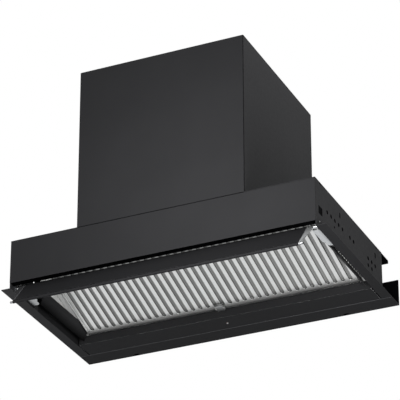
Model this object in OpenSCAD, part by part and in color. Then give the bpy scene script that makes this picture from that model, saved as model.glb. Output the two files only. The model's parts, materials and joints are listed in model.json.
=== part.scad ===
// Built-in range hood for a wall cabinet: a sheet-metal canopy with an inclined ribbed filter, a fold-out
// front flap, a motor box and a round duct collar.
// X runs along the front, Y towards the wall, Z up. Z = 0 is the plane of the cabinet's lower edge, Y = 0 is
// the front of the canopy, and X = 0 is its middle.

/* [Canopy] */
// Width of the canopy between the cabinet's sides
body_w = 564; // [500:2:740]
// Depth of the canopy
body_d = 304; // [290:1:340]
// Height of the canopy's top above the cabinet's lower edge
body_h = 88.6; // [84:0.2:110]
// Thickness of the canopy's steel sheet
sheet = 1; // [0.8:0.1:1.4]
// Height of the front panel's lower edge above the cabinet's lower edge
panel_lift = 8.3; // [7:0.1:12]
// Distance from the back of the canopy to the wall
wall_gap = 34; // [20:1:50]
// Height of the lip at the rear end of the top
ledge_lip_h = 6; // [4:0.5:12]

/* [Trim frame] */
// Width of the trim that covers the edge of a cabinet side
trim_lap = 17; // [14:0.5:22]
// Thickness of the trim
trim_t = 1.2; // [1:0.1:1.6]
// Height of the upstand along the wall
upstand_h = 47.3; // [30:0.1:70]
// Height of the trim's weld tabs inside the canopy
trim_leg_h = 12; // [9:0.5:18]

/* [Motor box] */
// Width of the motor box
box_w = 312; // [290:2:400]
// Height of the motor box above the canopy
box_h = 305; // [290:1:400]
// Outer radius of the box's folded edges
box_bend_r = 2; // [1.5:0.1:4]

/* [Duct collar] */
// Outer diameter of the collar
collar_d = 150; // [120:1:160]
// Height of the collar above the motor box
collar_h = 35; // [30:1:50]
// Wall of the collar
collar_wall = 2; // [1.6:0.1:3]

/* [Flap] */
// Distance from the flap's flat face to the side of the canopy
flap_side_gap = 22; // [21:0.5:30]
// Length of the flap's face, from its hinge rod to its free edge
flap_l = 59.5; // [50:0.5:64]
// Angle of the open flap below the horizontal
flap_open_angle = 50; // [40:1:60]
// Distance of the hinge rod from the front of the canopy
flap_axis_y = 19.5; // [18:0.5:24]
// Height of the hinge rod above the cabinet's lower edge
flap_axis_z = 6.3; // [5.5:0.1:7]
// Diameter of the hinge rod
rod_d = 5; // [4:0.1:5.6]
// Diameter of the bar along the free edge
edge_bar_d = 5; // [4:0.1:6]
// Width of the tapered end of the flap, beside its face
flap_end_w = 12; // [8:0.5:14]

/* [Filter] */
// Distance from the filter cassette to the side of the canopy
filter_side_gap = 24; // [24:0.5:40]
// Distance of the filter's front lower edge from the front of the canopy
filter_front_y = 96.4; // [96:0.2:110]
// Distance of the filter's front lower edge below the canopy's top
filter_front_drop = 24; // [22:0.2:30]
// Height of the filter's rear lower edge above the cabinet's lower edge
filter_rear_z = 15.8; // [15.4:0.1:18]
// Height of the filter cassette
filter_h = 12; // [11.4:0.2:13]
// Distance between two ribs
rib_pitch = 14.08; // [12:0.02:18]
// Width of a rib's flat face
rib_face = 8.6; // [6:0.1:9]
// Depth of the grooves between the ribs
rib_depth = 5; // [3:0.1:5.4]
// Thickness of the ribbed sheet
rib_t = 0.7; // [0.5:0.05:0.8]

/* [Blower] */
// Distance between the scroll's foot and the control box
control_gap = 22; // [15:1:30]
// Height left below the scroll
scroll_low_gap = 33; // [25:1:40]
// Height of the adaptor between the scroll and the outlet
adaptor_h = 50; // [40:1:60]
// Number of blades on each half of the impeller
blade_count = 30; // [20:1:36]

/* [Hidden] */

// Colours
black_paint = [0.16, 0.16, 0.165];
dark_steel = [0.11, 0.11, 0.115];
bright_steel = [0.78, 0.79, 0.8];
filter_metal = [0.8, 0.8, 0.8];
chrome = [0.88, 0.89, 0.9];
dark_plastic = [0.2, 0.2, 0.21];
grey_plastic = [0.55, 0.56, 0.57];
fleece = [0.6, 0.6, 0.6];
board_green = [0.1, 0.3, 0.16];

// Gaps and overruns shared by the pieces
seat_gap = 0.3;
run_gap = 0.05;
curl_gap = 0.1;
cut = 1;
arc_fn = 64;

// Canopy
half_w = body_w / 2;
inner_half_w = half_w - sheet;
wall_y = body_d + wall_gap;
fold_w = 12;
ledge_gap_side = 0.5;

// Side plate's holes: a row with one pitch in three groups, and a second row below the rear group
hole_r = 2.8;
hole_pitch = 16.85;
hole_front_y = 52;
hole_mid_shift = 1.1;
hole_rear_inset = 66.65;
hole_row_z = 47;
hole_row_drop = 13;
hole_front_ys = [for (i = [0:4]) hole_front_y + i * hole_pitch];
hole_mid_ys = [for (i = [0:1]) body_d / 2 + hole_mid_shift + i * hole_pitch];
hole_rear_ys = [for (i = [0:2]) body_d - hole_rear_inset + i * hole_pitch];
hole_low_ys = [for (i = [0:1]) body_d - hole_rear_inset + i * hole_pitch];
hook_hole = [15, 13];
hook_hole_y = 14;
hook_hole_z = 28.5;
pilot_r = 1.4;
pilot_y = 83;
pilot_z = 33.6;
vent_slot = [3, 9];
vent_slot_front_y = 109;
vent_slot_rear_inset = 32;
vent_slot_y = [vent_slot_front_y, body_d - vent_slot_rear_inset];
vent_slot_drop = 20.6;
vent_slot_z = body_h - vent_slot_drop;
top_notch = [9, 3];
top_notch_inset = 20;
top_notch_y = [top_notch_inset, body_d - top_notch_inset - top_notch[0]];

// Trim
trim_front_y = 2;
joggle = 0.3;
joggle_clear = 0.2;
joggle_x = half_w + joggle_clear;
weld_tab_w = 12;
weld_tab_front_y = 89;
weld_tab_rear_inset = 40;
weld_tab_rear_y = body_d - weld_tab_rear_inset;
relief_inset = 80;
relief_x = half_w - relief_inset;
relief = [10, 6];
trim_half_w = half_w + trim_lap;
strip_y = body_d - 2 * sheet;

// Rear cover
cover_d = 45;
cover_rear_y = strip_y - sheet;
riser_y = cover_rear_y - cover_d;
riser_drop = 1;
riser_top_z = filter_rear_z - riser_drop;
riser_return = 8;
cover_gap = 1.2;
cover_flange_h = 8;
lens_r = 1.6;
lens_inset = 20.4;
lens_y = cover_rear_y - lens_inset;
lens_h = 4;
lens_proud = 0.5;

// Filter guides at both sides, and the liner above them
guide_low_inset = 13;
guide_low_x = inner_half_w - guide_low_inset;
guide_low_z = 4.8;
guide_clear = 1.3;
guide_top_x = half_w - filter_side_gap + guide_clear;
guide_top_z = 27.4;
shield_inset = 8.4;
shield_y = filter_front_y - shield_inset;
shield_drop = 28.6;
shield_z = body_h - shield_drop;
guide_front_y = shield_y;
guide_shelf_share = 0.41;
guide_tab_l = guide_shelf_share * (riser_y - guide_front_y);
liner_inset = 11;
liner_x = inner_half_w - liner_inset;
liner_front_y = shield_y + 2 * sheet;
liner_rear_inset = 42;
liner_rear_y = body_d - liner_rear_inset;
liner_low_gap = 3.6;
liner_low_z = guide_top_z + liner_low_gap;

// Seats of the flap
seat_front_y = flap_axis_y + 7.5 * sheet;
seat_rear_y = shield_y;
seat_w = 16;
seat_inner_x = inner_half_w - seat_w;
seat_jog = 3.5;
seat_jog_y = 44;
seat_corner_r = 6;
seat_z = flap_axis_z - rod_d / 2 - curl_gap + seat_gap;

// Flap, in its own frame: Y from the rod to the free edge, Z away from its face
flap_w = body_w - 2 * flap_side_gap;
face_t = 0.8;
face_z = -rod_d / 2 - curl_gap - face_t;
face_top_z = face_z + face_t;
edge_bar_z = face_z + edge_bar_d / 2;
edge_bar_y = flap_l + edge_bar_d / 2 + run_gap;
edge_hem_h = 3.4;
end_x = flap_w / 2;
cheek_t = 2;
rod_inset = 1.5;
rod_half = inner_half_w - rod_inset;
cheek_eye_wall = 2.2;
cheek_eye_r = rod_d / 2 + cheek_eye_wall;
catch_d = 4;
catch_reach = 7;
catch_seat = 3;
bracket_w = 8;
bracket_r = 6;
bracket_base_h = 12;
panel_hem = flap_axis_y - bracket_r - seat_gap;
end_taper_shares = [0.03, 0.3, 0.92];
end_root_share = 0.75;
magnet_r = 4;
magnet_h = 2;
magnet_inset = 10;
magnet_x = end_x - magnet_inset;
magnet_y = 50;
sensor = [7, 16, 8];

// Filter, in its own frame: Y down the slope, Z away from its ribbed face
filter_w = body_w - 2 * filter_side_gap;
filter_rear_gap = 2;
filter_rear_y = riser_y - filter_rear_gap;
filter_front_z = body_h - filter_front_drop;
filter_run = filter_rear_y - filter_front_y;
filter_rise = filter_front_z - filter_rear_z;
filter_angle = atan2(filter_rise, filter_run);
filter_l = sqrt(filter_run * filter_run + filter_rise * filter_rise);
filter_wall = 1;
lip_w = 6;
lip_t = 1;
bead_r = 1.6;
top_flange_w = 8;
rib_slope = 1.8;
pad_h = 3.8;
pivot_r = 2;
pivot_y = 4;
pivot_z = 5;
pivot_reach = 7;
ear_t = 1.6;
ear_gap = 1.8;
ear_r = 5;
latch_w = 14.4;
latch_t = 2;
latch_l = 10;
latch_grip_h = 3.4;
latch_travel = 5;
latch_engage = 1.6;
gib_w = 1.8;
gib_lip = 1.4;
gib_t = 0.9;

// A point of the filter's own frame in the object's frame, as [Y, Z]
function on_filter(y, z) = [
    filter_front_y + y * cos(filter_angle) + z * sin(filter_angle),
    filter_front_z - y * sin(filter_angle) + z * cos(filter_angle)];
latch_tip_y = filter_l + latch_engage + (riser_y - on_filter(filter_l, 0)[0]) / cos(filter_angle) + sheet;
latch_top_z = -lip_t - seat_gap;
latch_slot_z = on_filter(latch_tip_y, latch_top_z - latch_t)[1] - seat_gap;

// Motor box and collar
deck_z = body_h;
box_top_z = body_h + box_h;
box_t = 1;
box_half_w = box_w / 2;
box_flange_w = 14;
box_lip_h = 12;
box_lip_t = 2;
box_mid_y = body_d / 2;
inlet_margin = 4;
inlet_r = box_mid_y - liner_front_y - inlet_margin;
collar_r = collar_d / 2;
collar_flange_w = 9;
collar_flange_t = 2;
collar_rib_w = 1;
damper_lift = 10;
damper_z = box_top_z + damper_lift;
damper_seat_w = 4;
damper_seat_t = 2;
damper_t = 1.2;
damper_edge_gap = 1.2;
axle_r = 2;
knuckle_r = 3.6;
knuckle_l = 18;
knuckle_pitch = 20;
damper_inner_x = 5;

// Blower
scroll_t = 2;
foot_w = 14;
control_size = [52, 110, 70];
control_x = box_half_w - box_t - box_lip_t - control_size[0];
scroll_half_w = control_x - control_gap - foot_w - scroll_t;
scroll_w = 2 * scroll_half_w;
scroll_gap = 9;
scroll_growth = 36;
scroll_sweep = 270;
scroll_start = 90;
scroll_half_growth = scroll_growth * 180 / scroll_sweep;
scroll_throat_reach = 37;
scroll_steps = 48;
scroll_room = box_h - scroll_low_gap - adaptor_h;
impeller_r = (scroll_room - scroll_throat_reach - scroll_gap - scroll_half_growth - scroll_t) / 2;
scroll_throat_h = impeller_r + scroll_throat_reach;
scroll_mid_z = box_top_z - box_t - adaptor_h - scroll_throat_h;
scroll_mid_shift = 8;
scroll_mid_y = body_d / 2 - scroll_mid_shift;
inlet_inset = 13;
scroll_inlet_r = impeller_r - inlet_inset;
blade_depth = 15;
blade_t = 1;
blade_lean = 32;
ring_t = 2;
ring_w = 9;
hub_r = 22;
impeller_side_gap = 8;
impeller_half_w = scroll_half_w - impeller_side_gap;
motor_side_gap = 18;
motor_r = impeller_r - blade_depth - motor_side_gap;
motor_end_gap = 13;
motor_l = scroll_half_w - motor_end_gap;
motor_drum_share = 0.6;
motor_end_share = 0.8;
shaft_r = 4;
motor_gap = 1.5;
spider_arm_w = 8;
spider_t = 2.5;
spider_hub_wall = 8;
spider_hub_r = shaft_r + spider_hub_wall;
spider_turns = [30, 150, 270];
foot_reach = 16;
foot_half_l = inlet_r + foot_reach;
adaptor_t = 2;

// Electrics
gland_inset = [46, 40];
gland_x = -box_half_w + gland_inset[0];
gland_z = box_top_z - gland_inset[1];
gland_r = 10;
gland_l = 16;
control_y = 60;
control_t = 2;
control_rim_h = 3;
control_entry_r = 5;
control_entry_z = 52;
control_entry_shares = [0.3, 0.7];
control_post_r = 3;
control_post_h = 5;
control_post_inset = 7;
control_post_xs = [control_post_inset, control_size[0] - control_post_inset];
control_post_ys = [control_post_inset, control_size[1] - control_post_inset];
board_t = 1.6;
board_parts = [[[0.2, 0.1], [28, 34, 26]], [[0.15, 0.5], [15, 19, 16]], [[0.55, 0.5], [15, 19, 16]],
    [[0.15, 0.78], [34, 12, 14]]];
capacitor_r = 14;
capacitor_l = 60;
capacitor_inset = [32, 50];
capacitor_x = -box_half_w + capacitor_inset[0];
capacitor_y = body_d - capacitor_inset[1];

// Fasteners
screw_head_r = 3.4;
screw_head_h = 1.8;
screw_drive_r = 1.3;
screw_shank_r = 1.6;
screw_shank_l = 6;
box_screw_shares = [0.06, 0.5, 0.94];
box_screw_points = [
    for (side = [-1, 1], share = box_screw_shares)
        [side * (box_half_w - box_t - box_flange_w / 2), body_d, deck_z + share * box_h]];
scroll_screw_x = scroll_half_w + scroll_t + box_t + run_gap;
scroll_screw_z = scroll_mid_z - scroll_inlet_r - scroll_t - 2 * foot_w;
function scroll_screw_points(side) = [
    for (y = [-1, 1]) [side * scroll_screw_x, scroll_mid_y + y * foot_w, scroll_screw_z]];
deck_screw_x = scroll_half_w + scroll_t + box_t + foot_w / 2;
deck_screw_points = [
    for (side = [-1, 1], y = [-1, 1])
        [side * deck_screw_x, scroll_mid_y + y * (foot_half_l - foot_w / 2), deck_z + box_t]];
bracket_screw_z = flap_axis_z + bracket_base_h - screw_head_r - seat_gap;
bracket_screw_l = bracket_w + sheet / 2;
function bracket_screw_points(side) = [[side * (inner_half_w - bracket_w), flap_axis_y, bracket_screw_z]];

// A pan-head screw: its head sits on Z = 0, and its shank points down.
module screw(shank_l) {
    difference() {
        union() {
            cylinder(r = screw_head_r, h = screw_head_h, $fn = 32);
            translate([0, 0, -shank_l]) cylinder(r = screw_shank_r, h = shank_l, $fn = 32);
        }
        translate([0, 0, screw_head_h / 2])
            cylinder(r = screw_drive_r, h = screw_head_h, $fn = 6);
    }
}

// Screws at given points, all turned one way, and the holes for them.
module screws_at(points, turn, shank_l) {
    for (p = points) translate(p) rotate(turn) screw(shank_l);
}

module screw_holes(points, turn, depth) {
    for (p = points)
        translate(p) rotate(turn)
            translate([0, 0, -depth]) cylinder(r = screw_shank_r + run_gap, h = depth + cut, $fn = 32);
}

// A profile drawn in (Y, Z) and extruded along X, centred on X = 0.
module along_x(length) {
    rotate([90, 0, 90])
        linear_extrude(height = length, center = true) children();
}

// A slot with round ends, along Y.
module slot_y(w, l) {
    square([w, l - w], center = true);
    for (s = [-1, 1]) translate([0, s * (l - w) / 2]) circle(d = w, $fn = 32);
}

// Canopy: front panel with a hem at its foot and a fold under the deck
module front_panel() {
    color(black_paint) {
        translate([-half_w, 0, panel_lift]) cube([body_w, sheet, body_h - sheet - panel_lift]);
        along_x(2 * (inner_half_w - run_gap))
            polygon([
                [0, panel_lift], [panel_hem, panel_lift], [panel_hem, panel_lift + sheet],
                [sheet, panel_lift + sheet], [sheet, body_h - 2 * sheet], [fold_w, body_h - 2 * sheet],
                [fold_w, body_h - sheet], [0, body_h - sheet]]);
    }
}

// One side plate, drawn for the right side, with its rows of fixing holes.
module side_plate() {
    top = body_h - sheet;
    translate([inner_half_w, 0, 0])
        rotate([90, 0, 90])
            linear_extrude(height = sheet)
                difference() {
                    translate([sheet, -joggle]) square([body_d - 2 * sheet, top + joggle]);
                    for (y = concat(hole_front_ys, hole_mid_ys, hole_rear_ys))
                        translate([y, hole_row_z]) circle(r = hole_r, $fn = 32);
                    for (y = hole_low_ys)
                        translate([y, hole_row_z - hole_row_drop]) circle(r = hole_r, $fn = 32);
                    translate([hook_hole_y, hook_hole_z]) square(hook_hole);
                    translate([pilot_y, pilot_z]) circle(r = pilot_r, $fn = 32);
                    translate([flap_axis_y, bracket_screw_z]) circle(r = screw_shank_r + run_gap, $fn = 32);
                    for (y = vent_slot_y) translate([y, vent_slot_z]) slot_y(vent_slot[0], vent_slot[1]);
                    for (y = top_notch_y)
                        translate([y, top - top_notch[1]]) square([top_notch[0], top_notch[1] + cut]);
                }
}

module side_plate_right() {
    color(black_paint) side_plate();
}

module side_plate_left() {
    color(black_paint) mirror([1, 0, 0]) side_plate();
}

module back_panel() {
    color(black_paint)
        translate([-half_w, body_d - sheet, 0]) cube([body_w, sheet, body_h - sheet]);
}

// Top of the canopy, which runs back to the wall and ends in a lip.
module top_deck() {
    color(black_paint) {
        difference() {
            union() {
                translate([-half_w, 0, body_h - sheet]) cube([body_w, body_d, sheet]);
                translate([-half_w + ledge_gap_side, body_d - sheet, body_h - sheet])
                    cube([body_w - 2 * ledge_gap_side, wall_gap + sheet, sheet]);
            }
            translate([0, box_mid_y, body_h - sheet - cut])
                cylinder(r = inlet_r, h = sheet + 2 * cut, $fn = arc_fn);
            screw_holes(deck_screw_points, [0, 0, 0], screw_shank_l);
        }
        translate([-half_w + ledge_gap_side, wall_y - sheet, body_h - ledge_lip_h])
            cube([body_w - 2 * ledge_gap_side, sheet, ledge_lip_h - sheet]);
    }
}

// Trim strip of one side: it covers the cabinet side's edge, and two tabs inside the canopy are welded to the
// side plate.
module trim_side() {
    difference() {
        translate([inner_half_w, trim_front_y, -trim_t])
            cube([trim_half_w - inner_half_w, strip_y - trim_front_y - seat_gap, trim_t]);
        translate([inner_half_w - cut, trim_front_y - cut, -joggle])
            cube([joggle_x - inner_half_w + cut, strip_y, joggle + cut]);
    }
    for (y = [weld_tab_front_y, weld_tab_rear_y]) {
        translate([inner_half_w - trim_t, y, -trim_t]) cube([trim_t, weld_tab_w, trim_leg_h + trim_t]);
        translate([inner_half_w - trim_t, y, -trim_t]) cube([2 * trim_t, weld_tab_w, trim_t - joggle]);
    }
}

module trim_right() {
    color(black_paint) trim_side();
}

module trim_left() {
    color(black_paint) mirror([1, 0, 0]) trim_side();
}

// Rear trim: a leg inside the canopy, the strip, and the upstand along the wall.
module trim_rear() {
    leg_half_w = inner_half_w - trim_t - cover_gap;
    color(black_paint) {
        difference() {
            translate([-trim_half_w, strip_y, -trim_t])
                cube([2 * trim_half_w, wall_y - strip_y, trim_t]);
            for (s = [-1, 1])
                translate([s * relief_x - relief[0] / 2, wall_y - trim_t - relief[1], -trim_t - cut])
                    cube([relief[0], relief[1], trim_t + 2 * cut]);
            translate([-joggle_x, strip_y - cut, -joggle])
                cube([2 * joggle_x, body_d - strip_y + cut + seat_gap, joggle + cut]);
        }
        translate([-leg_half_w, strip_y, -trim_t])
            cube([2 * leg_half_w, sheet, trim_leg_h + trim_t]);
        translate([-trim_half_w, wall_y - trim_t, 0])
            cube([2 * trim_half_w, trim_t, upstand_h]);
    }
}

// Rear cover: the riser behind the filter, the cover sheet, and a flange at its rear edge.
module rear_cover() {
    cover_half_w = inner_half_w - trim_t - cover_gap;
    notch_w = latch_w + 2 * seat_gap + 2 * run_gap;
    color(black_paint)
        difference() {
            along_x(2 * cover_half_w)
                polygon([
                    [riser_y, -trim_t], [cover_rear_y, -trim_t], [cover_rear_y, cover_flange_h],
                    [cover_rear_y - sheet, cover_flange_h], [cover_rear_y - sheet, -trim_t + sheet],
                    [riser_y + sheet, -trim_t + sheet], [riser_y + sheet, riser_top_z - sheet],
                    [riser_y + riser_return, riser_top_z - sheet], [riser_y + riser_return, riser_top_z],
                    [riser_y, riser_top_z]]);
            translate([-notch_w / 2, riser_y - cut, latch_slot_z])
                cube([notch_w, cut + latch_engage + 2 * sheet, riser_top_z - latch_slot_z + cut]);
            translate([0, lens_y, -trim_t - cut])
                cylinder(r = lens_r + run_gap, h = sheet + 2 * cut, $fn = 32);
        }
}

// Lens of the light that shows when the hood is on.
module indicator_lens() {
    color("white")
        translate([0, lens_y, -trim_t - lens_proud]) {
            cylinder(r = lens_r, h = lens_h, $fn = 32);
            translate([0, 0, lens_proud + sheet + seat_gap])
                cylinder(r = 2 * lens_r, h = lens_h - lens_proud - sheet - seat_gap, $fn = 32);
        }
}

// Guide beside the filter: a leaning wall with a shelf at its front half that reaches to the side plate.
module guide() {
    lean = guide_low_x - guide_top_x;
    rise = guide_top_z - guide_low_z;
    guide_l = riser_y - seat_gap - guide_front_y;
    translate([0, guide_front_y, 0])
        rotate([90, 0, 0]) mirror([0, 0, 1])
            linear_extrude(height = guide_l)
                polygon([
                    [guide_low_x, guide_low_z], [guide_low_x + sheet, guide_low_z],
                    [guide_low_x + sheet - lean, guide_top_z], [guide_top_x, guide_top_z]]);
    translate([guide_top_x + sheet / 2, guide_front_y, guide_top_z - sheet])
        cube([inner_half_w - guide_top_x - sheet / 2, guide_tab_l, sheet]);
}

module guide_right() {
    color(dark_steel) guide();
}

module guide_left() {
    color(dark_steel) mirror([1, 0, 0]) guide();
}

// Bright liner of the space above the filter, open at the front.
module plenum_liner() {
    top = body_h - 2 * sheet - seat_gap;
    color(bright_steel) {
        for (s = [-1, 1])
            translate([s * (liner_x + sheet / 2) - sheet / 2, liner_front_y, liner_low_z])
                cube([sheet, liner_rear_y - liner_front_y, top - liner_low_z]);
        translate([-liner_x - sheet, liner_rear_y - sheet, riser_top_z + seat_gap])
            cube([2 * (liner_x + sheet), sheet, top - riser_top_z - seat_gap]);
        difference() {
            translate([-liner_x - sheet, liner_front_y, top])
                cube([2 * (liner_x + sheet), liner_rear_y - liner_front_y, sheet]);
            translate([0, box_mid_y, top - cut]) cylinder(r = inlet_r, h = sheet + 2 * cut, $fn = arc_fn);
        }
    }
}

// Shield that closes the space above the flap.
module front_shield() {
    top = body_h - 2 * sheet - run_gap;
    color(dark_steel)
        along_x(2 * (inner_half_w - seat_gap))
            polygon([
                [sheet + seat_gap, shield_z], [shield_y, shield_z], [shield_y, top],
                [shield_y - sheet, top], [shield_y - sheet, shield_z + sheet],
                [sheet + seat_gap, shield_z + sheet]]);
}

// Rail at the filter's front: two ears with the pivot bores, joined by a bar under the deck.
module filter_rail() {
    pivot = on_filter(pivot_y, pivot_z);
    ear_x = filter_w / 2 + ear_gap;
    bar_z = body_h - 4 * sheet - seat_gap;
    color(dark_steel) {
        for (s = [-1, 1])
            translate([s * (ear_x + ear_t / 2), 0, 0])
                along_x(ear_t)
                    difference() {
                        union() {
                            translate([pivot[0], pivot[1]]) circle(r = ear_r, $fn = 32);
                            translate([pivot[0] - ear_r, pivot[1]]) square([2 * ear_r, bar_z + sheet - pivot[1]]);
                        }
                        translate([pivot[0], pivot[1]]) circle(r = pivot_r + run_gap, $fn = 32);
                    }
        translate([-ear_x - ear_t, pivot[0] - ear_r, bar_z])
            cube([2 * (ear_x + ear_t), 2 * ear_r, sheet]);
    }
}

// Seat beside the flap: the flap's tapered end rests against it when closed, and a recess clears the catch pin.
module seat() {
    w = inner_half_w - seat_inner_x;
    l = seat_rear_y - seat_front_y;
    translate([seat_inner_x, seat_front_y, seat_z])
        linear_extrude(height = sheet)
            difference() {
                polygon([[0, 0], [w, 0], [w, l], [seat_jog, l], [seat_jog, seat_jog_y + seat_jog], [0, seat_jog_y]]);
                translate([seat_jog, l - seat_corner_r])
                    difference() {
                        translate([-cut, 0]) square([seat_corner_r + cut, seat_corner_r + cut]);
                        translate([seat_corner_r, 0]) circle(r = seat_corner_r, $fn = 32);
                    }
            }
}

module seat_right() {
    color(bright_steel) seat();
}

module seat_left() {
    color(bright_steel) mirror([1, 0, 0]) seat();
}

// Bearing of the flap's hinge rod, fixed to the side plate.
module hinge_bracket() {
    difference() {
        translate([inner_half_w - bracket_w / 2, flap_axis_y, flap_axis_z])
            along_x(bracket_w)
                difference() {
                    union() {
                        circle(r = bracket_r, $fn = 32);
                        translate([-bracket_r, 0]) square([2 * bracket_r, bracket_base_h]);
                    }
                    circle(r = rod_d / 2 + run_gap, $fn = 32);
                }
        screw_holes(bracket_screw_points(1), [0, -90, 0], bracket_w + cut);
    }
}

module hinge_bracket_right() {
    color(dark_plastic) hinge_bracket();
}

module hinge_bracket_left() {
    color(dark_plastic) mirror([1, 0, 0]) hinge_bracket();
}

// Puts what is drawn in the flap's own frame at its open place.
module on_flap() {
    translate([0, flap_axis_y, flap_axis_z]) rotate([flap_open_angle - 180, 0, 0]) children();
}

// Flap: the face curls round the hinge rod, and it has a hem behind the bar at its free edge.
module flap_panel() {
    hem_y = flap_l - face_t;
    bore_r = rod_d / 2 + run_gap;
    color(black_paint)
        on_flap()
            along_x(flap_w)
                difference() {
                    union() {
                        polygon([
                            [0, face_z], [flap_l, face_z], [flap_l, face_top_z + edge_hem_h],
                            [hem_y, face_top_z + edge_hem_h], [hem_y, face_top_z], [0, face_top_z]]);
                        circle(r = -face_z, $fn = arc_fn);
                    }
                    circle(r = bore_r, $fn = arc_fn);
                    translate([0, face_top_z]) square([2 * bore_r, 2 * bore_r]);
                }
}

// End of the flap: a tapered wing in line with the face, and a cheek that holds the rod and the bar.
module flap_end() {
    wing_y = [for (share = end_taper_shares) share * flap_l];
    translate([0, 0, face_z])
        linear_extrude(height = face_t)
            polygon([
                [end_x + run_gap, 0], [end_x + end_root_share * flap_end_w, wing_y[0]], [end_x + flap_end_w, wing_y[1]],
                [end_x + run_gap + cheek_t, wing_y[2]], [end_x + run_gap, flap_l]]);
    translate([end_x + run_gap + cheek_t / 2, 0, 0])
        along_x(cheek_t)
            difference() {
                union() {
                    circle(r = cheek_eye_r, $fn = 32);
                    translate([edge_bar_y, edge_bar_z]) circle(r = edge_bar_d / 2, $fn = 32);
                    polygon([
                        [0, -cheek_eye_r], [edge_bar_y, face_z], [edge_bar_y, edge_bar_z + edge_bar_d / 2],
                        [0, cheek_eye_r]]);
                }
                circle(r = rod_d / 2 + run_gap, $fn = 32);
                translate([edge_bar_y, edge_bar_z]) circle(r = catch_d / 2 + run_gap, $fn = 32);
                translate([-2 * cheek_eye_r, face_z - 2 * cheek_eye_r])
                    square([flap_l, 2 * cheek_eye_r]);
            }
}

module flap_end_right() {
    color(grey_plastic) on_flap() flap_end();
}

module flap_end_left() {
    color(grey_plastic) on_flap() mirror([1, 0, 0]) flap_end();
}

// Rod that the flap turns on: it runs through both ends and into the brackets.
module flap_hinge_rod() {
    color(chrome)
        on_flap() rotate([0, 90, 0]) cylinder(d = rod_d, h = 2 * rod_half, center = true, $fn = 32);
}

// Bar along the free edge, bored at both ends for the catch pins.
module flap_edge_bar() {
    color(black_paint)
        on_flap()
            translate([0, edge_bar_y, edge_bar_z])
                rotate([0, 90, 0])
                    difference() {
                        cylinder(d = edge_bar_d, h = flap_w, center = true, $fn = 32);
                        for (s = [-1, 1])
                            translate([0, 0, s * flap_w / 2])
                                cylinder(r = catch_d / 2 + run_gap, h = 2 * catch_seat, center = true, $fn = 32);
                    }
}

module flap_catch_pins() {
    pin_l = catch_reach + catch_seat - seat_gap;
    color(chrome)
        on_flap()
            for (s = [-1, 1])
                translate([s * (end_x + catch_reach - pin_l / 2), edge_bar_y, edge_bar_z])
                    rotate([0, 90, 0]) cylinder(d = catch_d, h = pin_l, center = true, $fn = 32);
}

// Magnet in the flap, and the sensor on the right seat that it switches when the flap is closed.
module flap_magnet() {
    color(chrome)
        on_flap()
            translate([magnet_x, magnet_y, face_top_z]) cylinder(r = magnet_r, h = magnet_h, $fn = 32);
}

module flap_sensor() {
    color(dark_plastic)
        translate([seat_inner_x + 2 * sheet, flap_axis_y + magnet_y - sensor[1] / 2, seat_z + sheet])
            cube(sensor);
}

// Puts what is drawn in the filter's own frame at its place.
module on_slope() {
    translate([0, filter_front_y, filter_front_z]) rotate([-filter_angle, 0, 0]) children();
}

// Corners of the ribbed sheet's section, as [X, Z]: one side of the sheet, for the lower or the upper face
rib_count = floor((filter_w / 2 - filter_wall) / rib_pitch);
rib_shift = rib_t * tan(atan(rib_depth / rib_slope) / 2);
function rib_line(lift, shift) = [
    for (k = [-rib_count:rib_count])
        each concat(
            k == -rib_count ? [] : [
                [k * rib_pitch - rib_face / 2 - rib_slope + shift, rib_depth + lift],
                [k * rib_pitch - rib_face / 2 + shift, lift]],
            k == rib_count ? [] : [
                [k * rib_pitch + rib_face / 2 - shift, lift],
                [k * rib_pitch + rib_face / 2 + rib_slope - shift, rib_depth + lift]])];
function reversed(list) = [for (i = [len(list) - 1:-1:0]) list[i]];

// Ribbed sheet of the filter
module filter_mesh() {
    half = filter_w / 2 - filter_wall - run_gap;
    mesh_l = filter_l - 2 * filter_wall - 2 * run_gap;
    color(filter_metal)
        on_slope()
            translate([0, filter_wall + run_gap, 0])
                rotate([90, 0, 0]) mirror([0, 0, 1])
                    linear_extrude(height = mesh_l)
                        polygon(concat(
                            [[-half, 0]], rib_line(0, 0), [[half, 0], [half, rib_t]],
                            reversed(rib_line(rib_t, rib_shift)), [[-half, rib_t]]));
}

// Frame of the filter, with its latch plate and the gibs that guide the latch.
module filter_frame() {
    w = filter_w;
    wall_h = filter_h - lip_t;
    inner_w = w - 2 * filter_wall;
    gib_x = latch_w / 2 + 2 * run_gap;
    gib_z = latch_top_z - latch_t - run_gap;
    color(filter_metal)
        on_slope() {
            difference() {
                translate([-w / 2, 0, -lip_t]) cube([w, filter_l, wall_h + lip_t]);
                translate([-inner_w / 2, filter_wall, 0])
                    cube([inner_w, filter_l - 2 * filter_wall, wall_h - filter_wall]);
                translate([-inner_w / 2, lip_w, -lip_t - cut])
                    cube([inner_w, filter_l - 2 * lip_w, lip_t + 2 * cut]);
                translate([-inner_w / 2 + top_flange_w, filter_wall + top_flange_w, wall_h - filter_wall - cut])
                    cube([
                        inner_w - 2 * top_flange_w, filter_l - 2 * filter_wall - 2 * top_flange_w,
                        filter_wall + 2 * cut]);
                translate([0, pivot_y, pivot_z])
                    rotate([0, 90, 0]) cylinder(r = pivot_r + run_gap, h = w + 2 * cut, center = true, $fn = 32);
            }
            for (s = [-1, 1])
                translate([s * (gib_x + gib_w / 2), 0, 0])
                    translate([-gib_w / 2, filter_l - lip_w, gib_z - gib_t])
                        cube([gib_w, lip_w, -lip_t - gib_z + gib_t]);
            for (s = [-1, 1])
                translate([s * (gib_x - gib_lip / 2 + run_gap) - gib_lip / 2 - run_gap, filter_l - lip_w, gib_z - gib_t])
                    cube([gib_lip + 2 * run_gap, lip_w, gib_t]);
        }
}

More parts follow.
